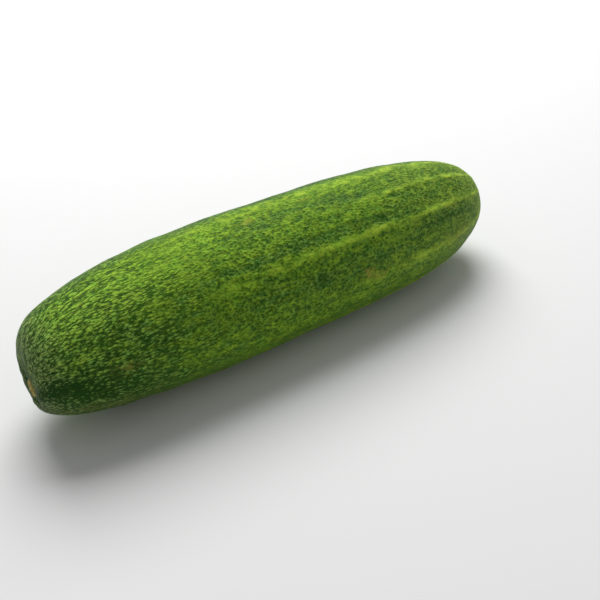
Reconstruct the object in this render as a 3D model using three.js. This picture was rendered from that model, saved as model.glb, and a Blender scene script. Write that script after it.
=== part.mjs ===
// A whole slicing cucumber of the short, thick, mottled kind, lying on its belly.
// The fruit grew as one piece, so it is one solid. Millimetres, +Z up, +X towards the blossom end.
// The origin is at the middle of the fruit's box, on the surface that it lies on.
import * as THREE from "three";

// Overall size
const LENGTH = 185;
const BODY_RADIUS = 24.4; // at mid length
const TAPER = 0.05; // share of the radius gained at the stem end and lost at the blossom end

// How blunt each end is. The outline is a superellipse: (radius)^(1/roundness) + (along)^reach = 1.
const STEM_END = { reach: 2.2, roundness: 0.265 };
const BLOSSOM_END = { reach: 3.5, roundness: 0.43 };

// Bend of the centre line, seen from above
const BOW = 1.9; // sideways, in the middle
const SWEEP = 3; // sideways, at each tip, one way at the stem and the other at the blossom

// Cross-section: three soft lobes, one on top, and low ribs that grow towards the blossom end
const LOBES = 3;
const LOBE_HEIGHT = 0.3;
const TOP_ANGLE = THREE.MathUtils.degToRad(90);
const RIB_ANGLES = [83, 112, 141, 178, 213, 249, 286, 322, 358, 400].map(THREE.MathUtils.degToRad);
const RIB_HEIGHT = 0.35;
const RIB_HALF_WIDTH = THREE.MathUtils.degToRad(8);
const RIBS_START = -0.7; // share of the half length where the ribs begin
const RIBS_FULL = 0.4; // and where they reach their full height

// The stem sat a little low and to the front of the blunt end, so the rings there are off centre.
const STEM_OFFSET = { sideways: -2.8, up: -3.2, reach: 16 };

// The dish around the cut stem, the corky plug in it, and the dent left by the blossom
const STEM_DISH = { depth: 1.6, radius: 6.5 };
const STEM_SCAR = { rise: 0.6, radius: 2.7, edge: 0.7 };
const BLOSSOM_DENT = { depth: 0.7, radius: 3.2 };

// The belly is a little flat where the fruit lies on the ground.
const BELLY_FLAT = 1.5; // how much of the round belly is flattened away
const BELLY_BLEND = 0.3; // height of the soft change from round to flat

// Facets
const RINGS = 46;
const SEGMENTS = 64;
const END_CROWDING = 0.8; // 0 spaces the rings evenly, and near 1 they crowd at the tips
const OUTLINE_STEPS = 1200;

const SKIN_FINISH = { color: 0x4f7a22, roughness: 0.5, metalness: 0 };

const smoothstep = THREE.MathUtils.smoothstep;

// The half outline from the stem tip to the blossom tip, as radius and place along the fruit.
class FruitOutline extends THREE.Curve {
  constructor() {
    super();
    this.arcLengthDivisions = OUTLINE_STEPS;
  }

  getPoint(share, target = new THREE.Vector2()) {
    const angle = Math.PI * share;
    const forward = -Math.cos(angle);
    const end = forward < 0 ? STEM_END : BLOSSOM_END;
    const along = Math.sign(forward) * Math.abs(forward) ** (2 / end.reach);
    const fullness = Math.max(Math.sin(angle), 0) ** (2 * end.roundness);
    return target.set(BODY_RADIUS * fullness * (1 - TAPER * along), (along * LENGTH) / 2);
  }
}

// The outline's points, closest together at the two tips. The first and the last lie on the axis.
function outlinePoints() {
  const outline = new FruitOutline();
  const points = [];
  for (let ring = 0; ring <= RINGS; ring++) {
    const even = ring / RINGS;
    const crowded = even - (END_CROWDING * Math.sin(2 * Math.PI * even)) / (2 * Math.PI);
    points.push(outline.getPointAt(crowded));
  }
  points[0].x = 0;
  points[RINGS].x = 0;
  return points;
}

// The turn from one angle to another, between minus and plus half a turn
function turnBetween(from, to) {
  return Math.atan2(Math.sin(to - from), Math.cos(to - from));
}

// How far the lobes and ribs stand out of the round section
function sectionRelief(along, angle) {
  const lobes = LOBE_HEIGHT * Math.cos(LOBES * (angle - TOP_ANGLE));
  const growth = smoothstep(along, RIBS_START, RIBS_FULL);
  let ribs = 0;
  for (const rib of RIB_ANGLES) {
    ribs += Math.exp(-((turnBetween(rib, angle) / RIB_HALF_WIDTH) ** 2));
  }
  return lobes + RIB_HEIGHT * growth * ribs;
}

// How far the skin moves along the fruit at the stem scar and the blossom scar
function endRelief(along, radius) {
  if (along > 0) {
    return -BLOSSOM_DENT.depth * Math.exp(-((radius / BLOSSOM_DENT.radius) ** 2));
  }
  const dish = STEM_DISH.depth * Math.exp(-((radius / STEM_DISH.radius) ** 2));
  const plug = 1 - smoothstep(radius, STEM_SCAR.radius - STEM_SCAR.edge, STEM_SCAR.radius + STEM_SCAR.edge);
  return dish - STEM_SCAR.rise * plug;
}

// The height of the skin once the belly is flattened, with a soft change between round and flat
function flattenBelly(height) {
  const above = height - BELLY_FLAT;
  const overlap = Math.max(BELLY_BLEND - Math.abs(above), 0);
  return Math.max(above, 0) + (overlap * overlap) / (4 * BELLY_BLEND);
}

// Shapes the turned body into the fruit: relief, bend, level belly.
function shapeSkin(geometry) {
  const position = geometry.getAttribute("position");
  const point = new THREE.Vector3();
  for (let i = 0; i < position.count; i++) {
    point.fromBufferAttribute(position, i);
    const along = point.x / (LENGTH / 2);
    const radius = Math.hypot(point.y, point.z);
    const angle = Math.atan2(point.z, point.y);
    const fullness = Math.min(radius / BODY_RADIUS, 1);
    const skinRadius = radius + fullness * sectionRelief(along, angle);
    const offCentre = along < 0 ? 1 - smoothstep(radius, 0, STEM_OFFSET.reach) : 0;
    const sideways = BOW * (1 - along ** 2) + SWEEP * along ** 3 + offCentre * STEM_OFFSET.sideways;
    const axisHeight = BODY_RADIUS * (1 - TAPER * along) + offCentre * STEM_OFFSET.up;
    position.setXYZ(
      i,
      point.x + endRelief(along, radius),
      sideways + skinRadius * Math.cos(angle),
      flattenBelly(axisHeight + skinRadius * Math.sin(angle)),
    );
  }
}

// Puts the origin at the bottom middle of the fruit's box.
function centreOnGround(geometry) {
  geometry.computeBoundingBox();
  const middle = geometry.boundingBox.getCenter(new THREE.Vector3());
  geometry.translate(-middle.x, -middle.y, -geometry.boundingBox.min.z);
}

function makeCucumber() {
  const geometry = new THREE.LatheGeometry(outlinePoints(), SEGMENTS);
  geometry.rotateZ(-Math.PI / 2); // the turning axis becomes +X
  shapeSkin(geometry);
  centreOnGround(geometry);
  geometry.computeVertexNormals();
  const mesh = new THREE.Mesh(geometry, new THREE.MeshStandardMaterial(SKIN_FINISH));
  mesh.name = "cucumber";
  return mesh;
}

const part = new THREE.Group();
part.add(makeCucumber());

export default part;
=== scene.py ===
# %% [markdown]
# # A mottled cucumber
#
# This lesson builds one short, thick slicing cucumber that lies on its belly. The fruit is a single
# closed mesh: its outline, ribs, scars and pebbled skin are real geometry, and its mottled colour is a
# procedural material. The solid that the mesh stands for is loaded first, because it fixes the size.

# %% Load the solid fruit and measure its box
import math

import bpy
import numpy as np
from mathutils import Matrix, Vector, noise


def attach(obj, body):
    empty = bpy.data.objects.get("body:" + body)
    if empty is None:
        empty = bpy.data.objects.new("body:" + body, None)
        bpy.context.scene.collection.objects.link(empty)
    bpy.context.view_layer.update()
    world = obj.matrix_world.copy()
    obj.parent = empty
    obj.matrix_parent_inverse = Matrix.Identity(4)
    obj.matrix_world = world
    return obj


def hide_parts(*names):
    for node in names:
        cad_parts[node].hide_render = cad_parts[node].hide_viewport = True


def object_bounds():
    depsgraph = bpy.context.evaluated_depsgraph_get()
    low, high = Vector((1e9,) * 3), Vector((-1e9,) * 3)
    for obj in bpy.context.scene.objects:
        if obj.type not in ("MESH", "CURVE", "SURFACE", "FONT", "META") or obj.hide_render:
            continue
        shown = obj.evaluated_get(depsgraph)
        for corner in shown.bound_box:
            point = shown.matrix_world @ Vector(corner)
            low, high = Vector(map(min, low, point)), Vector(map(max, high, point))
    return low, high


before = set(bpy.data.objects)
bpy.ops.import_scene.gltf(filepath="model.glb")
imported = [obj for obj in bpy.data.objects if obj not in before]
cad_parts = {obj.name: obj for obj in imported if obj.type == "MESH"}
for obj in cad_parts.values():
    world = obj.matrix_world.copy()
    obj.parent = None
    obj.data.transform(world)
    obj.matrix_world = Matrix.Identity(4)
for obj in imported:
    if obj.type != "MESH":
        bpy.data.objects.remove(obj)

MM = 0.001
cad_low, cad_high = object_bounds()
print("solid fruit, mm:", [round(x / MM, 1) for x in cad_high - cad_low])

# %% [markdown]
# ## The camera
#
# The camera looks down on the near side of the fruit from the stem end, close enough that the stem end
# is clearly bigger than the far end. A camera can be placed by hand until it looks right. Here it is
# placed by two angles and a distance from the point it aims at, which can be read and changed later.

# %% Place the camera
CAMERA_AZIMUTH = math.radians(-34.9)
CAMERA_ELEVATION = math.radians(37.2)
CAMERA_DISTANCE = 307 * MM
CAMERA_FIELD = math.radians(37.25)
CAMERA_NEAR = 10 * MM
AIM_POINT = Vector((2.3, -10.7, 14.95)) * MM

towards_camera = Vector((
    math.sin(CAMERA_AZIMUTH) * math.cos(CAMERA_ELEVATION),
    -math.cos(CAMERA_AZIMUTH) * math.cos(CAMERA_ELEVATION),
    math.sin(CAMERA_ELEVATION),
))
camera_data = bpy.data.cameras.new("camera")
camera_data.angle = CAMERA_FIELD
camera_data.clip_start = CAMERA_NEAR
camera = bpy.data.objects.new("camera", camera_data)
camera.location = AIM_POINT + towards_camera * CAMERA_DISTANCE
camera.rotation_mode = "QUATERNION"
camera.rotation_quaternion = (-towards_camera).to_track_quat("-Z", "Y")
bpy.context.collection.objects.link(camera)
bpy.context.scene.camera = camera
print("camera lens, mm:", round(camera_data.lens, 1))

# %% [markdown]
# ## The outline
#
# Cut lengthwise, the fruit is a long oval that is blunter at the stem than at the blossom. A curve drawn
# by hand would do. A superellipse says the same with two numbers for each end: how far the straight part
# reaches, and how round the end is. The rings are spread along the outline by the distance walked on the
# skin, a little closer together at the ends, where the skin turns quickly.

# %% Measure out the outline
BODY_LENGTH = 185 * MM
BODY_RADIUS = 24.4 * MM
TAPER = 0.05
STEM_REACH, STEM_ROUNDNESS = 2.2, 0.265
BLOSSOM_REACH, BLOSSOM_ROUNDNESS = 3.5, 0.43
RINGS = 440
SEGMENTS = 224
END_CROWDING = 0.35
OUTLINE_STEPS = 20000


def walk_outline():
    """The distance walked from the stem, the place along the axis and the radius, for each ring."""
    turn = np.pi * np.linspace(0, 1, OUTLINE_STEPS)
    forward = -np.cos(turn)
    reach = np.where(forward < 0, STEM_REACH, BLOSSOM_REACH)
    roundness = np.where(forward < 0, STEM_ROUNDNESS, BLOSSOM_ROUNDNESS)
    share = np.sign(forward) * np.abs(forward) ** (2 / reach)
    radius = BODY_RADIUS * np.clip(np.sin(turn), 0, 1) ** (2 * roundness) * (1 - TAPER * share)
    place = share * BODY_LENGTH / 2
    steps = np.hypot(np.diff(radius), np.diff(place))
    walked = np.concatenate([[0], np.cumsum(steps)])
    even = np.linspace(0, 1, RINGS + 1)
    crowded = even - END_CROWDING * np.sin(2 * np.pi * even) / (2 * np.pi)
    stops = crowded * walked[-1]
    return stops, np.interp(stops, walked, place), np.interp(stops, walked, radius)


ring_walk, ring_place, ring_radius = walk_outline()
SKIN_LENGTH = ring_walk[-1]
print("skin from scar to scar, mm:", round(SKIN_LENGTH / MM, 1))

# %% [markdown]
# ## The grid
#
# Every vertex of the skin has a ring and an angle. All shapes below are functions of those two, worked
# out for the whole grid at once. Sculpting a turned body would be another way, but functions can be read
# and changed. The angle starts and ends at the belly, so the seam of the grid, and later of the texture
# map, is where nobody looks.

# %% Lay out rings and angles
BELLY_ANGLE = math.radians(-90)
ring_angles = BELLY_ANGLE + 2 * np.pi * np.arange(SEGMENTS) / SEGMENTS
along = (ring_place / (BODY_LENGTH / 2))[:, None] * np.ones(SEGMENTS)
radius = ring_radius[:, None] * np.ones(SEGMENTS)
walk = ring_walk[:, None] * np.ones(SEGMENTS)
angle = ring_angles[None, :] * np.ones((RINGS + 1, 1))


def smoothstep(value, start, end):
    """A soft step from 0 at start to 1 at end."""
    share = np.clip((value - start) / (end - start), 0, 1)
    return share * share * (3 - 2 * share)


def turn_between(first, second):
    """The angle from the first to the second, between minus and plus half a turn."""
    return np.arctan2(np.sin(second - first), np.cos(second - first))


print("grid:", RINGS + 1, "rings of", SEGMENTS, "vertices")

# %% [markdown]
# ## Lobes and ribs
#
# A cucumber isn't quite round. It has three soft lobes, from the three chambers inside, and ten low ribs
# that fade in towards the blossom. They could be sculpted, but the ribs carry the pale stripes, so each one
# is a row of a small table instead: its angle, where along the fruit it begins and is full, its width and
# its strength. No rib runs quite straight or is equally strong all the way, so noise bends its path and
# makes it swell and fade. The same numbers raise the skin here and colour it later, which keeps shape and
# colour together.

# %% Raise the lobes and the ribs
LOBES = 3
LOBE_HEIGHT = 0.3 * MM
LOBE_TOP = math.radians(90)
RIB_HEIGHT = 0.35 * MM
RIB_WIDEN = 2.0
# how much, and how many waves along half the fruit
RIB_BEND, RIB_BENDS = math.radians(3.0), 4.0
RIB_FADE, RIB_FADES = 0.65, 7.0
RIB_APART = 10  # between the places where two ribs read the noise
# angle in degrees, begins, full, half width in degrees, strength
RIBS = [
    (83, -0.65, -0.1, 6.0, 0.8),
    (112, -0.10, 0.55, 2.4, 0.9),
    (141, -0.50, 0.1, 2.3, 1.1),
    (178, -0.10, 0.6, 4.5, 0.9),
    (213, -0.30, 0.4, 3.5, 0.8),
    (249, -0.40, 0.2, 4.0, 0.9),
    (286, -0.20, 0.5, 3.0, 0.8),
    (322, -0.50, 0.1, 2.8, 1.1),
    (358, -0.10, 0.5, 4.0, 0.8),
    (400, -0.40, 0.3, 3.2, 0.9),
]


def rib_noise(number, waves):
    """Smooth noise along one rib, for every ring. Each rib reads the noise at a place of its own."""
    places = waves * ring_place / (BODY_LENGTH / 2)
    values = [noise.noise(Vector((place, RIB_APART * number, waves))) for place in places]
    return np.array(values)[:, None]


def rib_pattern(widen):
    """How strongly each vertex lies on a rib, from 0 to about 1."""
    total = np.zeros_like(along)
    for number, (degrees, begins, full, half_width, strength) in enumerate(RIBS):
        path = math.radians(degrees) + RIB_BEND * rib_noise(number, RIB_BENDS)
        swell = strength * (1 + RIB_FADE * rib_noise(number, RIB_FADES))
        off = turn_between(path, angle) / math.radians(half_width * widen)
        total += swell * smoothstep(along, begins, full) * np.exp(-off ** 2)
    return total


stripe = rib_pattern(1.0)
section = LOBE_HEIGHT * np.cos(LOBES * (angle - LOBE_TOP)) + RIB_HEIGHT * rib_pattern(RIB_WIDEN)
print("section relief, mm:", round(section.min() / MM, 2), "to", round(section.max() / MM, 2))

# %% [markdown]
# ## The two ends
#
# At the stem end the fruit was cut from the vine: a shallow dish, and in it a corky plug with a raised
# lip, a dimpled middle and small puckers around it. It sits a little low and to the front, so the rings
# there are moved off centre. At the blossom end the dried flower left a small dent with a stub in it. As
# pieces of their own they would show a seam. So both are height profiles over the distance from the axis,
# added along the axis.

# %% Shape the stem dish, the plug and the blossom dent
STEM_OFFSET_SIDEWAYS = -2.8 * MM
STEM_OFFSET_UP = -3.2 * MM
STEM_OFFSET_REACH = 16 * MM
DISH_DEPTH, DISH_RADIUS = 1.6 * MM, 6.5 * MM
SCAR_RADIUS, SCAR_EDGE, SCAR_RISE = 2.7 * MM, 0.45 * MM, 0.6 * MM
LIP_HEIGHT, LIP_WIDTH = 0.18 * MM, 0.5 * MM
PITH_DEPTH, PITH_RADIUS = 0.35 * MM, 0.8 * MM
PUCKERS = 11
PUCKER_HEIGHT, PUCKER_AT, PUCKER_WIDTH = 0.22 * MM, 6.0 * MM, 3.5 * MM
PUCKER_CROWDING, PUCKER_CROWDS = 2, 3  # how much they crowd together, and at how many places
DENT_DEPTH, DENT_RADIUS = 0.7 * MM, 3.2 * MM
STUB_HEIGHT, STUB_RADIUS = 0.5 * MM, 0.9 * MM


def bump_at(distance, width):
    """A round bump, 1 at distance 0."""
    return np.exp(-(distance / width) ** 2)


def stem_profile():
    """How far the skin moves into the fruit at the stem end."""
    dish = DISH_DEPTH * bump_at(radius, DISH_RADIUS)
    plug = SCAR_RISE * (1 - smoothstep(radius, SCAR_RADIUS - SCAR_EDGE, SCAR_RADIUS + SCAR_EDGE))
    lip = LIP_HEIGHT * bump_at(radius - SCAR_RADIUS + SCAR_EDGE, LIP_WIDTH)
    pith = PITH_DEPTH * bump_at(radius, PITH_RADIUS)
    folds = np.cos(PUCKERS * angle + PUCKER_CROWDING * np.sin(PUCKER_CROWDS * angle))
    puckers = PUCKER_HEIGHT * bump_at(radius - PUCKER_AT, PUCKER_WIDTH) * folds
    return dish - plug - lip + pith + puckers


def blossom_profile():
    """How far the skin moves into the fruit at the blossom end."""
    return DENT_DEPTH * bump_at(radius, DENT_RADIUS) - STUB_HEIGHT * bump_at(radius, STUB_RADIUS)


at_stem = along < 0
end_shift = np.where(at_stem, stem_profile(), -blossom_profile())
off_centre = np.where(at_stem, 1 - smoothstep(radius, 0, STEM_OFFSET_REACH), 0)
print("stem plug, mm across:", round(2 * SCAR_RADIUS / MM, 1))

# %% [markdown]
# ## The body in space
#
# Now the grid becomes points. The centre line bows gently to one side and sweeps at the tips, and it
# drops towards the blossom as the fruit gets slimmer, so that the belly stays level. A Curve modifier
# could bend a straight body too. Moving each ring sideways and up takes only two lines.

# %% Bend the body into place
BOW = 1.9 * MM
SWEEP = 3.0 * MM


def body_points():
    """The smooth body, as an array of rings by segments by three."""
    fullness = np.clip(radius / BODY_RADIUS, 0, 1)
    reach = radius + fullness * section
    sideways = BOW * (1 - along ** 2) + SWEEP * along ** 3 + off_centre * STEM_OFFSET_SIDEWAYS
    height = BODY_RADIUS * (1 - TAPER * along) + off_centre * STEM_OFFSET_UP
    return np.stack([
        along * BODY_LENGTH / 2 + end_shift,
        sideways + reach * np.cos(angle),
        height + reach * np.sin(angle),
    ], axis=-1)


body = body_points()
print("body, mm:", np.round((body.max((0, 1)) - body.min((0, 1))) / MM, 1))

# %% [markdown]
# ## Growth
#
# A real skin is never smooth. Broad swellings and smaller lumps make the outline uneven, shallow dimples
# break up the light, and fine pebbling makes the sheen soft. A sculptor would brush these on. Layers of
# noise at four sizes do the same, pushed out along the skin's own direction, and they fade where the rings
# close up.

# %% Roughen the skin along its normals
# size of the features, height
SWELLING = (24 * MM, 0.30 * MM)
LUMPS = (11 * MM, 0.28 * MM)
DIMPLES = (5.5 * MM, 0.07 * MM)
PEBBLES = (1.9 * MM, 0.045 * MM)
QUIET_RADIUS = 2.0 * MM
SMALLEST_SIZE = 1e-12  # keeps the division safe where a ring closes up


def skin_directions(points):
    """The outward direction of the skin at every vertex."""
    lengthwise = np.gradient(points, axis=0)
    around = np.roll(points, -1, axis=1) - np.roll(points, 1, axis=1)
    outward = np.cross(around, lengthwise)
    size = np.linalg.norm(outward, axis=-1, keepdims=True)
    return outward / np.maximum(size, SMALLEST_SIZE)


def noise_layer(points, size, height):
    """Smooth noise with features of one size, at every vertex."""
    flat = points.reshape(-1, 3) / size
    values = [noise.noise(Vector(place)) for place in flat]
    return height * np.array(values).reshape(points.shape[:2])


growth = sum(noise_layer(body, *layer) for layer in (SWELLING, LUMPS, DIMPLES, PEBBLES))
growth *= smoothstep(radius, 0, QUIET_RADIUS)
skin = body + skin_directions(body) * growth[..., None]
print("growth, mm:", round(growth.min() / MM, 2), "to", round(growth.max() / MM, 2))

# %% [markdown]
# ## The belly
#
# The fruit lies on a slightly flattened strip. Clamping the lowest points to the ground would leave a hard
# edge around that strip, so the height bends softly into the flat. Then the whole skin moves to where the
# solid fruit is: the middle of its box, standing on the ground.

# %% Flatten the belly and stand the fruit on the ground
BELLY_FLAT = 1.5 * MM
BELLY_BLEND = 0.3 * MM


def flatten_belly(points):
    """The same points, resting flat on the ground."""
    above = points[..., 2] - BELLY_FLAT
    overlap = np.clip(BELLY_BLEND - np.abs(above), 0, None)
    rested = points.copy()
    rested[..., 2] = np.clip(above, 0, None) + overlap ** 2 / (4 * BELLY_BLEND)
    return rested


box_middle = (body.max((0, 1)) + body.min((0, 1))) / 2
solid_middle = (np.array(cad_low) + np.array(cad_high)) / 2
shift = solid_middle - box_middle
shift[2] = 0
skin = flatten_belly(skin) + shift
print("lowest point, mm:", round(skin[..., 2].min() / MM, 3))

# %% [markdown]
# ## The mesh
#
# The grid's vertices become one closed mesh: a single vertex at each tip, fans of triangles around them
# and quads in between. Building it from lists keeps full control of the order of the vertices, which the
# attributes below rely on.

# %% Build the mesh
def mesh_vertices():
    """The stem tip, the rings between, and the blossom tip."""
    rings = skin[1:-1].reshape(-1, 3)
    return np.concatenate([skin[0].mean(0)[None], rings, skin[-1].mean(0)[None]])


def mesh_faces():
    """Fans at the tips and quads between, all facing out."""
    first = 1
    last = first + (RINGS - 1) * SEGMENTS
    this = np.arange(SEGMENTS)
    following = (this + 1) % SEGMENTS
    faces = [(0, int(first + b), int(first + a)) for a, b in zip(this, following)]
    for ring in range(RINGS - 2):
        low = first + ring * SEGMENTS
        high = low + SEGMENTS
        faces += [
            (int(low + a), int(low + b), int(high + b), int(high + a))
            for a, b in zip(this, following)
        ]
    top = last - SEGMENTS
    faces += [(int(top + a), int(top + b), last) for a, b in zip(this, following)]
    return faces


skin_mesh = bpy.data.meshes.new("cucumber_skin")
skin_mesh.from_pydata(mesh_vertices().tolist(), [], mesh_faces())
skin_mesh.polygons.foreach_set("use_smooth", [True] * len(skin_mesh.polygons))
skin_mesh.update()
cucumber = bpy.data.objects.new("cucumber_skin", skin_mesh)
bpy.context.collection.objects.link(cucumber)
print("vertices:", len(skin_mesh.vertices), "faces:", len(skin_mesh.polygons))

# %% [markdown]
# ## What each vertex knows
#
# The material needs to know where it is on the fruit: how far along, how close to a rib, how near a scar.
# Those could be painted by hand. Writing them as attributes while the grid is still at hand is exact, and
# they stay with the mesh. The flow is the skin rolled out straight, in millimetres, so that spots drawn in
# it follow the bends of the fruit and draw together at its tips.

# %% Write the attributes
FLOW_GATHER = 0.6  # 1 would narrow the circle as much as the fruit, 0 not at all


def tip_to_tip(field):
    """A grid field in the order of the mesh's vertices."""
    middle = field[1:-1].reshape(-1, *field.shape[2:])
    return np.concatenate([field[0].mean(0)[None], middle, field[-1].mean(0)[None]])


def write_attribute(name, field):
    """Stores one number, or one vector, on every vertex."""
    kind, slot = ("FLOAT_VECTOR", "vector") if field.ndim == 3 else ("FLOAT", "value")
    attribute = skin_mesh.attributes.new(name, kind, "POINT")
    attribute.data.foreach_set(slot, tip_to_tip(field).astype(np.float32).ravel())


def skin_flow():
    """The rolled-out skin: millimetres walked, and a circle that narrows towards the tips."""
    gathered = BODY_RADIUS * (radius / BODY_RADIUS) ** FLOW_GATHER
    return np.stack([walk, gathered * np.cos(angle), gathered * np.sin(angle)], axis=-1) / MM


write_attribute("flow", skin_flow())
write_attribute("along", along)
write_attribute("stripe", stripe)
print("attributes:", [a.name for a in skin_mesh.attributes if not a.name.startswith(".")])

# %% [markdown]
# ## Light and dark patches, and painted shade
#
# Beyond stripes and flecks, this skin has its own marks: a bright, streaky band on the upper side of the
# stem end, a nearly plain dark shoulder low at the front, partly dark skin and partly painted shade, and
# darker bands between the ribs. They could be painted by hand. They are chance and few, so a short list of
# soft spots does it: the place, the size and how much lighter each is. Some spots in the list are only
# painted shade: the lower front edge, darkened where it turns away from the light, and a darker strip along
# the top of the back edge. The skin right around the stem plug, in the dish, is darkened all the way round
# as painted shade, and the blossom tip is paler.

# %% Place the patches
# along, angle in degrees, half length as a share, half width in degrees, lightness
PATCHES_AND_SHADE = [
    (-0.60, 106, 0.35, 22, 0.26),
    # partly dark skin, partly painted shade: the dark shoulder low at the front of the stem end
    (-0.93, 173, 0.19, 13, -0.78),
    (-0.82, 167, 0.04, 4, 0.35),
    (-0.62, 150, 0.16, 12, -0.20),
    # painted shade: the next two darken the stem end's lower front, where it turns away from the light
    (-0.79, 188, 0.22, 13, -0.34),
    (-0.80, 214, 0.30, 16, -0.35),
    (-0.36, 79, 0.02, 3, -0.40),
    (-0.55, 84, 0.30, 1.3, 0.30),
    (-0.66, 92, 0.22, 1.3, 0.30),
    (-0.72, 101, 0.16, 1.2, 0.30),
    (-0.62, 88, 0.18, 1.5, -0.25),
    (-0.70, 97, 0.16, 1.5, -0.25),
    (-0.20, 131, 0.25, 4, -0.22),
    (0.25, 131, 0.35, 6, -0.14),
    (0.36, 131, 0.02, 2.5, -0.45),
    (0.10, 163, 0.35, 8, -0.17),
    (0.02, 160, 0.03, 3, -0.25),
    (0.66, 153, 0.12, 6, -0.40),
    # painted shade: the lower front edge, darker where it turns away from the light
    (0.25, 208, 0.35, 7, -0.18),
    (0.60, 128, 0.03, 3, -0.30),
    (0.20, 103, 0.35, 5, -0.12),
    # painted shade: a darker strip along the top of the back edge
    (0.10, 66, 0.80, 9, -0.35),
    (-0.35, 142, 0.10, 4, 0.28),
    (0.06, 142, 0.10, 4, 0.12),
    (0.62, 141, 0.08, 3, 0.20),
    (-0.70, 320, 0.25, 25, -0.35),
    (0.10, 340, 0.30, 9, -0.25),
    (0.50, 20, 0.20, 8, -0.30),
    (0.00, 300, 0.30, 10, -0.20),
]


def patch_field(patches):
    """The sum of soft spots at every vertex."""
    total = np.zeros_like(along)
    for place, degrees, half_length, half_width, lightness in patches:
        lengthwise = (along - place) / half_length
        sideways = turn_between(math.radians(degrees), angle) / math.radians(half_width)
        total += lightness * np.exp(-lengthwise ** 2 - sideways ** 2)
    return total


# painted shade: the skin in the dish around the stem plug is darkened all the way round
DISH_SHADE_AT, DISH_SHADE_WIDTH, DISH_SHADE_LIGHT = 4.5 * MM, 2.0 * MM, -0.35
TIP_START, TIP_LIGHT = 0.82, 0.5

dish_shade = DISH_SHADE_LIGHT * bump_at(radius - DISH_SHADE_AT, DISH_SHADE_WIDTH)
pale_tip = TIP_LIGHT * smoothstep(along, TIP_START, 1.0)
# the marks, the painted shade of the low front, the top back edge and the stem dish, and the pale tip
patch_and_shade = patch_field(PATCHES_AND_SHADE) + np.where(at_stem, dish_shade, pale_tip)
write_attribute("patch_and_shade", patch_and_shade)
print("patches:", round(patch_and_shade.min(), 2), "to", round(patch_and_shade.max(), 2))

# %% [markdown]
# Four more fields mark special skin. The belly, which lay on the ground, is plainer than the rest, but for
# the stem end. The grey on the cap around the stem is painted sheen, standing in for light glancing off the
# cap, and on the front under it the grey is a bloom of wax. The scuffs are a few brownish rubbed places. The
# cork is the plug at the stem and the stub at the blossom. Each could have a material of its own. One
# material that reads these fields shows them all, with no borders between materials for the eye to catch.

# %% Mark the belly, the painted sheen and the bloom, the scuffs and the cork
BELLY_START, BELLY_FULL = -0.15, -0.7
BELLY_STEM, BELLY_BODY = -0.95, -0.45
# painted sheen: the cap around the stem turns grey, standing in for light glancing off it
CAP_SHEEN_GREY_START, CAP_SHEEN_GREY = -0.86, 0.7
# both lists: along, angle in degrees, half length as a share, half width in degrees, strength
LOW_BLOOM = [(-0.82, 212, 0.25, 18, 0.7)]
SCUFFS = [
    (-0.13, 96, 0.035, 4.0, 0.8),
    (0.10, 92, 0.045, 2.0, 0.7),
    (0.24, 170, 0.025, 5.0, 0.9),
    (0.27, 178, 0.070, 5.0, 0.6),
    (0.72, 177, 0.100, 7.0, 0.6),
    (-0.72, 168, 0.060, 7.0, 0.5),
    (-0.80, 104, 0.040, 4.0, 0.5),
    (-0.82, 208, 0.200, 12.0, 0.4),
    (0.45, 330, 0.050, 4.0, 0.7),
    (-0.40, 10, 0.050, 4.0, 0.8),
]
CORK_SOFT = 0.5 * MM

belly = smoothstep(np.sin(angle), BELLY_START, BELLY_FULL) * smoothstep(along, BELLY_STEM, BELLY_BODY)
# painted sheen on the cap, and the grey bloom low at the front
sheen_and_bloom = CAP_SHEEN_GREY * smoothstep(along, CAP_SHEEN_GREY_START, -1.0) + patch_field(LOW_BLOOM)
scar_distance = np.where(at_stem, radius - SCAR_RADIUS, radius - STUB_RADIUS)
write_attribute("belly", belly)
write_attribute("sheen_and_bloom", sheen_and_bloom)
write_attribute("scuff", patch_field(SCUFFS))
write_attribute("cork", 1 - smoothstep(scar_distance, -CORK_SOFT, CORK_SOFT))
print("scuffs:", len(SCUFFS))

# %% [markdown]
# ## The texture map
#
# A game or a viewer that can't run the material needs its colours as a picture, and that needs a flat map
# of the skin. The rolled-out skin is that map: length across, angle upwards. The last column of faces
# meets the first at the belly, so its far corners are at 1 and not at 0.

# %% Unroll the skin into a map
def unroll():
    """One map corner for each corner of each face."""
    columns = np.arange(SEGMENTS) / SEGMENTS
    step = 1 / SEGMENTS
    across = ring_walk / SKIN_LENGTH
    corners = []
    for start in columns:
        corners += [(across[0], start + step / 2), (across[1], start + step), (across[1], start)]
    for ring in range(1, RINGS - 1):
        low, high = across[ring], across[ring + 1]
        for start in columns:
            corners += [(low, start), (low, start + step), (high, start + step), (high, start)]
    for start in columns:
        corners += [(across[-2], start), (across[-2], start + step), (across[-1], start + step / 2)]
    return np.array(corners)


skin_map = skin_mesh.uv_layers.new(name="OFBake")
skin_map.data.foreach_set("uv", unroll().astype(np.float32).ravel())
print("map corners:", len(skin_map.data))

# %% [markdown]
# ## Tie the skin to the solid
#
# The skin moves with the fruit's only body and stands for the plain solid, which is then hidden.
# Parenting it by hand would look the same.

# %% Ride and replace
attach(cucumber, "root")
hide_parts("cucumber")

# %% [markdown]
# ## Helpers for materials
#
# Materials are node trees, and adding a node by hand takes several lines. Small helpers keep the cells below
# readable. The first sets or links a socket. The others add the nodes that are used most and return the
# socket that carries the result. The last turns a colour code into the linear light that shaders use.

# %% Helpers that add nodes
def connect(tree, value, socket):
    """Links another node's output to a socket, or sets a constant on it."""
    if isinstance(value, bpy.types.NodeSocket):
        tree.links.new(value, socket)
    else:
        socket.default_value = value


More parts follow.
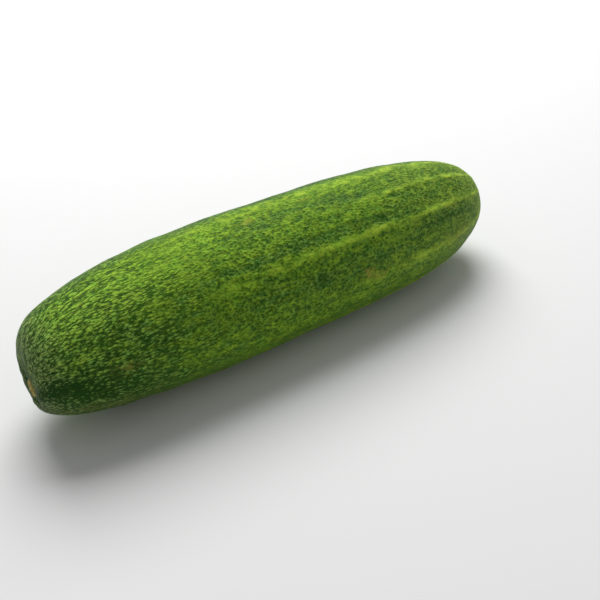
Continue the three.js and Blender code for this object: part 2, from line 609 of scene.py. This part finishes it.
def calculate(tree, operation, *values, clamp=False):
    """A Math node."""
    made = tree.nodes.new("ShaderNodeMath")
    made.operation = operation
    made.use_clamp = clamp
    for value, socket in zip(values, made.inputs):
        connect(tree, value, socket)
    return made.outputs[0]


def calculate_vectors(tree, operation, *values):
    """A Vector Math node."""
    made = tree.nodes.new("ShaderNodeVectorMath")
    made.operation = operation
    for value, socket in zip(values, made.inputs):
        connect(tree, value, socket)
    return made.outputs[0]


def soft_range(tree, value, start, end, low=0.0, high=1.0):
    """A Map Range node with soft ends."""
    made = tree.nodes.new("ShaderNodeMapRange")
    made.interpolation_type = "SMOOTHSTEP"
    for given, socket in zip((value, start, end, low, high), made.inputs):
        connect(tree, given, socket)
    return made.outputs[0]


def mix(tree, share, first, second, kind):
    """A Mix node between two sockets or constants of one kind, Color or Float."""
    made = tree.nodes.new("ShaderNodeMix")
    made.data_type = {"Color": "RGBA", "Float": "FLOAT"}[kind]
    sockets = {socket.identifier: socket for socket in (*made.inputs, *made.outputs)}
    connect(tree, share, sockets["Factor_Float"])
    connect(tree, first, sockets["A_" + kind])
    connect(tree, second, sockets["B_" + kind])
    return sockets["Result_" + kind]


def mix_colours(tree, share, first, second):
    """The second colour over the first, by a share."""
    return mix(tree, share, first, second, "Color")


def mix_values(tree, share, first, second):
    """The second value over the first, by a share."""
    return mix(tree, share, first, second, "Float")


def read_attribute(tree, name, output="Fac"):
    """One of the fields written on the mesh."""
    made = tree.nodes.new("ShaderNodeAttribute")
    made.attribute_name = name
    return made.outputs[output]


def colour(code):
    """A colour code as on a paint card, turned by the sRGB curve into linear light."""
    parts = [int(code[i:i + 2], 16) / 255 for i in (1, 3, 5)]
    linear = [x / 12.92 if x <= 0.04045 else ((x + 0.055) / 1.055) ** 2.4 for x in parts]
    return (*linear, 1.0)


print("leaf green:", [round(x, 3) for x in colour("#4f7a22")])

# %% [markdown]
# ## Flecks that follow the skin
#
# Seen close, the mottling is made of small flecks, each a little lighter or darker than its neighbours.
# Painting them one by one is hopeless. Voronoi cells are such flecks: every cell has its own random colour
# and a distance from its middle. The cells are bent by a little noise, so that no two look alike, and
# stretched along the fruit. Bead says how a fleck's middle differs from the gap around it: above zero it is
# a light bead with a dark gap, below zero a dark pit in a light net. The pattern is needed at several
# sizes, so it is a node group with its own sockets.

# %% Helpers for node groups
def new_group(name, inputs, outputs):
    """An empty node group with named sockets. Returns the tree and its inner ends."""
    tree = bpy.data.node_groups.new(name, "ShaderNodeTree")
    for socket_name, kind, value in inputs:
        socket = tree.interface.new_socket(socket_name, in_out="INPUT", socket_type=kind)
        if value is not None:
            socket.default_value = value
    for socket_name, kind in outputs:
        tree.interface.new_socket(socket_name, in_out="OUTPUT", socket_type=kind)
    return tree, tree.nodes.new("NodeGroupInput").outputs, tree.nodes.new("NodeGroupOutput").inputs


def squeeze_flow(tree, flow, size, stretch):
    """The flow measured in flecks, which are longer along the fruit than around it."""
    around = calculate(tree, "DIVIDE", 1.0, size)
    lengthwise = calculate(tree, "DIVIDE", around, stretch)
    scale = tree.nodes.new("ShaderNodeCombineXYZ")
    for value, axis in ((lengthwise, "X"), (around, "Y"), (around, "Z")):
        connect(tree, value, scale.inputs[axis])
    return calculate_vectors(tree, "MULTIPLY", flow, scale.outputs[0])


def add_noise(tree, place, detail, roughness):
    """A Noise node whose features are about one unit wide. Returns its outputs."""
    made = tree.nodes.new("ShaderNodeTexNoise")
    for value, name in ((1.0, "Scale"), (detail, "Detail"), (roughness, "Roughness"), (place, "Vector")):
        connect(tree, value, made.inputs[name])
    return made.outputs


print("helpers:", new_group.__name__, squeeze_flow.__name__, add_noise.__name__)

# %% Make the fleck group
FLECK_DETAIL, FLECK_ROUGHNESS = 1.0, 0.5
FLECK_BEND = 1.05
FLECK_EDGE = 0.48  # from a cell's middle to where its gap begins
OWN_SHADE, GAP_SHADE, CLOUD_SHADE = 0.75, 1.5, 1.0
ALL_DARK, ALL_LIGHT = -0.3, 1.3
HALF = 0.5  # the middle of a noise's or a random colour's range


def fleck_group():
    """Light flecks with dark gaps, as a mask, and a random tint for each fleck."""
    tree, given, result = new_group(
        "Flecks",
        [
            ("Flow", "NodeSocketVector", None),
            ("Size", "NodeSocketFloat", 1.5),
            ("Stretch", "NodeSocketFloat", 1.5),
            ("Light Share", "NodeSocketFloat", 0.5),
            ("Contrast", "NodeSocketFloat", 1.0),
            ("Bead", "NodeSocketFloat", 1.0),
        ],
        [("Mask", "NodeSocketFloat"), ("Tint", "NodeSocketFloat")],
    )
    straight = squeeze_flow(tree, given["Flow"], given["Size"], given["Stretch"])
    haze = add_noise(tree, straight, FLECK_DETAIL, FLECK_ROUGHNESS)
    bend = calculate_vectors(tree, "SUBTRACT", haze["Color"], (HALF,) * 3)
    bent = calculate_vectors(tree, "MULTIPLY_ADD", bend, (FLECK_BEND,) * 3, straight)
    cells = tree.nodes.new("ShaderNodeTexVoronoi")
    connect(tree, 1.0, cells.inputs["Scale"])
    connect(tree, bent, cells.inputs["Vector"])
    own = tree.nodes.new("ShaderNodeSeparateColor")
    connect(tree, cells.outputs["Color"], own.inputs[0])
    own_shade = calculate(tree, "SUBTRACT", own.outputs["Red"], HALF)
    inside = calculate(tree, "SUBTRACT", FLECK_EDGE, cells.outputs["Distance"])
    inside = calculate(tree, "MULTIPLY", inside, given["Bead"])
    cloudy = calculate(tree, "SUBTRACT", haze[0], HALF)
    shade = calculate(tree, "MULTIPLY", own_shade, OWN_SHADE)
    shade = calculate(tree, "MULTIPLY_ADD", inside, GAP_SHADE, shade)
    shade = calculate(tree, "MULTIPLY_ADD", cloudy, CLOUD_SHADE, shade)
    lifted = calculate(tree, "MULTIPLY_ADD", shade, given["Contrast"], given["Light Share"])
    connect(tree, soft_range(tree, lifted, ALL_DARK, ALL_LIGHT), result["Mask"])
    connect(tree, own.outputs["Green"], result["Tint"])
    return tree


flecks = fleck_group()
print("group:", flecks.name, [s.name for s in flecks.interface.items_tree])

# %% [markdown]
# ## Clouds
#
# Under the flecks the skin drifts between light and dark: in broad streaks along the fruit, in blotches,
# in thin rows, and in a fine grain that keeps any area from being one flat colour. Each could be a texture
# of its own kind. All of them are plain noise at different sizes here, so they share a second group, whose
# value swings around a half.

# %% Make the cloud group
CLOUD_DETAIL, CLOUD_ROUGHNESS = 3.0, 0.6


def cloud_group():
    """Cloudy noise as a value around a half."""
    tree, given, result = new_group(
        "Clouds",
        [
            ("Flow", "NodeSocketVector", None),
            ("Size", "NodeSocketFloat", 1.0),
            ("Stretch", "NodeSocketFloat", 1.0),
        ],
        [("Value", "NodeSocketFloat")],
    )
    place = squeeze_flow(tree, given["Flow"], given["Size"], given["Stretch"])
    connect(tree, add_noise(tree, place, CLOUD_DETAIL, CLOUD_ROUGHNESS)[0], result["Value"])
    return tree


clouds = cloud_group()


def place_group(tree, group, **inputs):
    """A group node with its sockets set. Returns its outputs."""
    made = tree.nodes.new("ShaderNodeGroup")
    made.node_tree = group
    for name, value in inputs.items():
        connect(tree, value, made.inputs[name.replace("_", " ")])
    return made.outputs


print("group:", clouds.name, [s.name for s in clouds.interface.items_tree])

# %% [markdown]
# ## How light the skin is
#
# Before any fleck is drawn, each place gets a share of light. It begins with the drift of streaks, blotches
# and rows. The cap gets a little more, as painted sheen, and then stripes and patches, some of them painted
# shade, are added. The blotches tear the stripes, whose edges are ragged on the real fruit. The flecks then
# turn that share into many or few light marks. A smooth colour ramp would be simpler, but on the real skin a
# pale stripe is a place where the flecks run together.

# %% Start the skin material
skin_material = bpy.data.materials.new("cucumber_skin")
skin_material.use_nodes = True
skin_tree = skin_material.node_tree
skin_tree.nodes.clear()

flow = read_attribute(skin_tree, "flow", "Vector")
along_skin = read_attribute(skin_tree, "along")
stripe_here = read_attribute(skin_tree, "stripe")
# the patches, with their painted shade
patch_and_shade_here = read_attribute(skin_tree, "patch_and_shade")
belly_here = read_attribute(skin_tree, "belly")
# painted sheen on the cap, and the grey bloom low at the front
sheen_and_bloom_here = read_attribute(skin_tree, "sheen_and_bloom")
print("fields read:", len(skin_tree.nodes))

# %% Add up the share of light
STREAKS = {"Size": 4.5, "Stretch": 3.0}
BLOTCHES = {"Size": 2.4, "Stretch": 1.6}
ROWS = {"Size": 0.9, "Stretch": 8.0}
# the part of the clouds' range that counts, around a half
WIDE_SWING, SWING, NARROW_SWING = (0.25, 0.75), (0.3, 0.7), (0.35, 0.65)
STREAK_DARK, STREAK_LIGHT = 0.02, 0.26
BLOTCH_LIGHT = 0.22
ROW_LIGHT = 0.18
STRIPE_TORN, STRIPE_WHOLE = 0.5, 1.25
STRIPE_LIGHT = 0.44
# painted sheen: the cap gets a little lighter where light glances off it
CAP_SHEEN_START, CAP_SHEEN_LIGHT = -0.72, 0.06

streaks, blotches, rows = (
    place_group(skin_tree, clouds, Flow=flow, **pattern)["Value"]
    for pattern in (STREAKS, BLOTCHES, ROWS)
)
light_share = soft_range(skin_tree, streaks, *WIDE_SWING, STREAK_DARK, STREAK_LIGHT)
torn = soft_range(skin_tree, blotches, *NARROW_SWING, STRIPE_TORN, STRIPE_WHOLE)
torn_stripe = calculate(skin_tree, "MULTIPLY", stripe_here, torn)
for added in (
    soft_range(skin_tree, blotches, *SWING, 0.0, BLOTCH_LIGHT),
    soft_range(skin_tree, rows, *SWING, 0.0, ROW_LIGHT),
    soft_range(skin_tree, along_skin, CAP_SHEEN_START, -1.0, 0.0, CAP_SHEEN_LIGHT),
    calculate(skin_tree, "MULTIPLY", torn_stripe, STRIPE_LIGHT),
    patch_and_shade_here,
):
    light_share = calculate(skin_tree, "ADD", light_share, added)
print("skin nodes so far:", len(skin_tree.nodes))

# %% [markdown]
# ## Dashes, net and grain
#
# The mottling changes along the fruit. At the stem it is light dashes on dark green, in rows along the
# fruit. Towards the middle they run together into a light net with dark pits. Changing the size of one
# pattern from place to place would pull its cells out of shape. So there are two patterns, each with its
# own size, and the skin changes from one to the other at a wandering border. A third, smaller one breaks up
# both. All of them are calmer on the belly, on the stripes and towards the blossom.

# %% Draw the flecks
DASHES = {"Size": 0.66, "Stretch": 2.5, "Bead": 1.2}
NET = {"Size": 0.8, "Stretch": 1.4, "Bead": -0.8}
GRAINS = {"Size": 0.45, "Stretch": 1.5, "Bead": -0.4}
GRAIN_SHARE = 0.2
CALM_START, CALM_END = -0.6, 0.2
STEM_CONTRAST, BLOSSOM_CONTRAST = 1.25, 0.72
BELLY_CONTRAST, STRIPE_CONTRAST = 0.5, 0.6
BORDER_WANDER = 0.8
BORDER_START, BORDER_END = -0.25, 0.25

contrast = soft_range(skin_tree, along_skin, CALM_START, CALM_END, STEM_CONTRAST, BLOSSOM_CONTRAST)
for calm_here, calmest in ((belly_here, BELLY_CONTRAST), (stripe_here, STRIPE_CONTRAST)):
    calm = soft_range(skin_tree, calm_here, 0.0, 1.0, 1.0, calmest)
    contrast = calculate(skin_tree, "MULTIPLY", contrast, calm)
dashes, net, grains = (
    place_group(skin_tree, flecks, Flow=flow, Light_Share=light_share, Contrast=contrast, **pattern)
    for pattern in (DASHES, NET, GRAINS)
)
border = calculate(skin_tree, "MULTIPLY_ADD", streaks, BORDER_WANDER, along_skin)
net_share = soft_range(skin_tree, border, BORDER_START, BORDER_END)
fleck_mask = mix_values(skin_tree, net_share, dashes["Mask"], net["Mask"])
fleck_mask = mix_values(skin_tree, GRAIN_SHARE, fleck_mask, grains["Mask"])
fleck_tint = mix_values(skin_tree, net_share, dashes["Tint"], net["Tint"])
print("skin nodes so far:", len(skin_tree.nodes))

# %% [markdown]
# ## Greens
#
# Dark and light green both change along the fruit: deepest at the stem, warmer in the middle, paler and
# duller at the blossom. Where the share of light is low, the light green is duller too. On the stripes it
# turns yellow. On the cap it turns grey as painted sheen, and under the bloom low at the front it turns grey
# too. The belly fades towards a plain olive. One ramp from dark to light couldn't do that, so each of the
# two is mixed on its own and the flecks choose between them.

# %% Mix the dark and the light green along the fruit
DARK_STEM = colour("#1a4004")
DARK_BODY = colour("#2a5004")
DARK_BLOSSOM = colour("#345512")
LIGHT_STEM = colour("#a0d048")
LIGHT_BODY = colour("#96c434")
LIGHT_BLOSSOM = colour("#9abe46")
STEM_TO_BODY, BODY_TO_BLOSSOM = (-0.95, -0.45), (0.1, 0.95)

stem_to_body = soft_range(skin_tree, along_skin, *STEM_TO_BODY)
body_to_blossom = soft_range(skin_tree, along_skin, *BODY_TO_BLOSSOM)
dark_green = mix_colours(skin_tree, stem_to_body, DARK_STEM, DARK_BODY)
dark_green = mix_colours(skin_tree, body_to_blossom, dark_green, DARK_BLOSSOM)
light_green = mix_colours(skin_tree, stem_to_body, LIGHT_STEM, LIGHT_BODY)
light_green = mix_colours(skin_tree, body_to_blossom, light_green, LIGHT_BLOSSOM)
print("skin nodes so far:", len(skin_tree.nodes))

# %% Tint the light green and let the flecks choose
LIGHT_DULL = colour("#90c25c")
STRIPE_YELLOW = colour("#b2d040")
# grey for the painted sheen on the cap and for the bloom low at the front
SHEEN_AND_BLOOM_GREY = colour("#a3b184")
BELLY_OLIVE = colour("#577616")
DULLEST_AT, NOT_DULL_AT, DULL_SHARE = 0.05, 0.4, 0.8
STRIPE_YELLOW_SHARE, SHEEN_AND_BLOOM_SHARE, BELLY_OLIVE_SHARE = 0.5, 0.8, 0.45

dull_share = soft_range(skin_tree, light_share, DULLEST_AT, NOT_DULL_AT, DULL_SHARE, 0.0)
light_green = mix_colours(skin_tree, dull_share, light_green, LIGHT_DULL)
yellow_share = calculate(skin_tree, "MULTIPLY", torn_stripe, STRIPE_YELLOW_SHARE, clamp=True)
light_green = mix_colours(skin_tree, yellow_share, light_green, STRIPE_YELLOW)
# the painted sheen and the bloom turn the light green grey
sheen_and_bloom_share = calculate(skin_tree, "MULTIPLY", sheen_and_bloom_here, SHEEN_AND_BLOOM_SHARE, clamp=True)
light_green = mix_colours(skin_tree, sheen_and_bloom_share, light_green, SHEEN_AND_BLOOM_GREY)
mottled = mix_colours(skin_tree, fleck_mask, dark_green, light_green)
olive_share = calculate(skin_tree, "MULTIPLY", belly_here, BELLY_OLIVE_SHARE)
mottled = mix_colours(skin_tree, olive_share, mottled, BELLY_OLIVE)
print("skin nodes so far:", len(skin_tree.nodes))

# %% [markdown]
# Scuffs are thin, dull yellow-brown scabs where something rubbed the skin. A soft spot would look
# airbrushed, so they are broken up by the fleck group, which makes their edges ragged. The cork of the plug
# and the stub is dry tissue, tan with a brown grain.

# %% Add the scuffs and the cork
SCUFF_OCHRE = colour("#a09c40")
CORK_TAN = colour("#e4d484")
CORK_BROWN = colour("#9c8a42")
SCUFF_FLECKS = {"Size": 1.1, "Stretch": 1.6, "Contrast": 1.4}
SCUFF_FULL, SCUFF_STRENGTH = 0.8, 0.75
CORK_GRAIN = {"Size": 0.9, "Stretch": 1.0}
CORK_SWING = (0.35, 0.6)

scuff_here = read_attribute(skin_tree, "scuff")
cork_here = read_attribute(skin_tree, "cork")
scuff_flecks = place_group(skin_tree, flecks, Flow=flow, Light_Share=scuff_here, **SCUFF_FLECKS)["Mask"]
scuff_share = soft_range(skin_tree, scuff_here, 0.0, SCUFF_FULL, 0.0, SCUFF_STRENGTH)
scuff_mask = calculate(skin_tree, "MULTIPLY", scuff_flecks, scuff_share)
marked = mix_colours(skin_tree, scuff_mask, mottled, SCUFF_OCHRE)
cork_grain = place_group(skin_tree, clouds, Flow=flow, **CORK_GRAIN)["Value"]
cork_colour = mix_colours(skin_tree, soft_range(skin_tree, cork_grain, *CORK_SWING), CORK_BROWN, CORK_TAN)
with_cork = mix_colours(skin_tree, cork_here, marked, cork_colour)
print("skin nodes so far:", len(skin_tree.nodes))

# %% [markdown]
# No two spots of a real skin have exactly the same green. A fine grain makes the colour a little lighter or
# darker, the dark blotches are a little bluer than the light ones, and every fleck has its own tint. More
# mixed colours could do that. One node that shifts hue and brightness does all three, so none of the
# colours above has to be doubled.

# %% Vary the brightness and the hue
SKIN_GRAIN = {"Size": 0.6}
GRAIN_DARK, GRAIN_LIGHT = 0.86, 1.14
BLOTCH_BLUER, BLOTCH_YELLOWER = 0.009, -0.004
# a half leaves the hue as it is
TINT_YELLOWER, TINT_BLUER = 0.493, 0.503

fine_grain = place_group(skin_tree, clouds, Flow=flow, **SKIN_GRAIN)["Value"]
brightness = soft_range(skin_tree, fine_grain, *WIDE_SWING, GRAIN_DARK, GRAIN_LIGHT)
blotch_hue = soft_range(skin_tree, blotches, *NARROW_SWING, BLOTCH_BLUER, BLOTCH_YELLOWER)
fleck_hue = soft_range(skin_tree, fleck_tint, 0.0, 1.0, TINT_YELLOWER, TINT_BLUER)
varied = skin_tree.nodes.new("ShaderNodeHueSaturation")
connect(skin_tree, with_cork, varied.inputs["Color"])
connect(skin_tree, brightness, varied.inputs["Value"])
connect(skin_tree, calculate(skin_tree, "ADD", blotch_hue, fleck_hue), varied.inputs["Hue"])
print("skin nodes so far:", len(skin_tree.nodes))

# %% [markdown]
# ## Sheen and relief
#
# The skin has a thin natural wax that gives a weak, soft sheen, a little duller on the light flecks and
# nearly gone on the cork. The light flecks also stand slightly out of the skin. They are about as small as
# the faces of the mesh, so their height and the grain's go into a Bump node, while everything larger is
# geometry.

# %% Finish the skin material
FLECK_RELIEF = 0.4 * MM
GRAIN_RELIEF = 0.5
SKIN_DULL, FLECK_DULL, CORK_DULL = 0.52, 0.08, 0.3
WAX_IOR, WAX_SHEEN = 1.4, 0.13

skin_shader = skin_tree.nodes.new("ShaderNodeBsdfPrincipled")
skin_output = skin_tree.nodes.new("ShaderNodeOutputMaterial")
relief = skin_tree.nodes.new("ShaderNodeBump")
relief.inputs["Distance"].default_value = FLECK_RELIEF
height = calculate(skin_tree, "MULTIPLY_ADD", fine_grain, GRAIN_RELIEF, fleck_mask)
connect(skin_tree, height, relief.inputs["Height"])
dullness = calculate(skin_tree, "MULTIPLY_ADD", fleck_mask, FLECK_DULL, SKIN_DULL)
dullness = calculate(skin_tree, "MULTIPLY_ADD", cork_here, CORK_DULL, dullness)
connect(skin_tree, varied.outputs[0], skin_shader.inputs["Base Color"])
connect(skin_tree, dullness, skin_shader.inputs["Roughness"])
connect(skin_tree, relief.outputs[0], skin_shader.inputs["Normal"])
skin_shader.inputs["IOR"].default_value = WAX_IOR
skin_shader.inputs["Specular IOR Level"].default_value = WAX_SHEEN
connect(skin_tree, skin_shader.outputs[0], skin_output.inputs["Surface"])
skin_mesh.materials.append(skin_material)
print("skin nodes:", len(skin_tree.nodes))

# %% [markdown]
# ## Floor and light
#
# The fruit lies on a plain, nearly white floor that fills the view. One big soft light hangs above and
# behind, towards the blossom end, so the back of the fruit is bright and the near side falls into soft
# shade. A second lamp could fill that shade. A pale sky from all around does it without a second shadow, as
# in a white studio. The Standard view shows the mixed colours as they are, without a film look.

# %% Lay the floor
FLOOR_SIZE = 6.0
FLOOR_GREY = (0.8, 0.8, 0.8, 1.0)
FLOOR_DULL = 0.9

floor_mesh = bpy.data.meshes.new("floor")
half = FLOOR_SIZE / 2
floor_mesh.from_pydata(
    [(-half, -half, 0), (half, -half, 0), (half, half, 0), (-half, half, 0)], [], [(0, 1, 2, 3)]
)
floor = bpy.data.objects.new("floor", floor_mesh)
bpy.context.collection.objects.link(floor)
floor_material = bpy.data.materials.new("pale_floor")
floor_material.use_nodes = True
floor_shader = floor_material.node_tree.nodes["Principled BSDF"]
floor_shader.inputs["Base Color"].default_value = FLOOR_GREY
floor_shader.inputs["Roughness"].default_value = FLOOR_DULL
floor_mesh.materials.append(floor_material)
print("floor, m:", FLOOR_SIZE)

# %% Hang the light and set the sky
LIGHT_SIZE = 0.7
LIGHT_PLACE = Vector((0.22, 0.50, 0.80))
LIGHT_POWER = 10.5
SKY_WHITE = (1.0, 1.0, 1.0, 1.0)
SKY_STRENGTH = 0.30

light_data = bpy.data.lights.new("overhead_light", "AREA")
light_data.shape = "SQUARE"
light_data.size = LIGHT_SIZE
light_data.energy = LIGHT_POWER
light = bpy.data.objects.new("overhead_light", light_data)
light.location = LIGHT_PLACE
light.rotation_mode = "QUATERNION"
light.rotation_quaternion = (-LIGHT_PLACE).to_track_quat("-Z", "Y")
bpy.context.collection.objects.link(light)
sky = bpy.data.worlds.new("pale_sky")
sky.use_nodes = True
background = sky.node_tree.nodes["Background"]
background.inputs["Color"].default_value = SKY_WHITE
background.inputs["Strength"].default_value = SKY_STRENGTH
bpy.context.scene.world = sky
bpy.context.scene.view_settings.view_transform = "Standard"
print("light, W:", LIGHT_POWER)
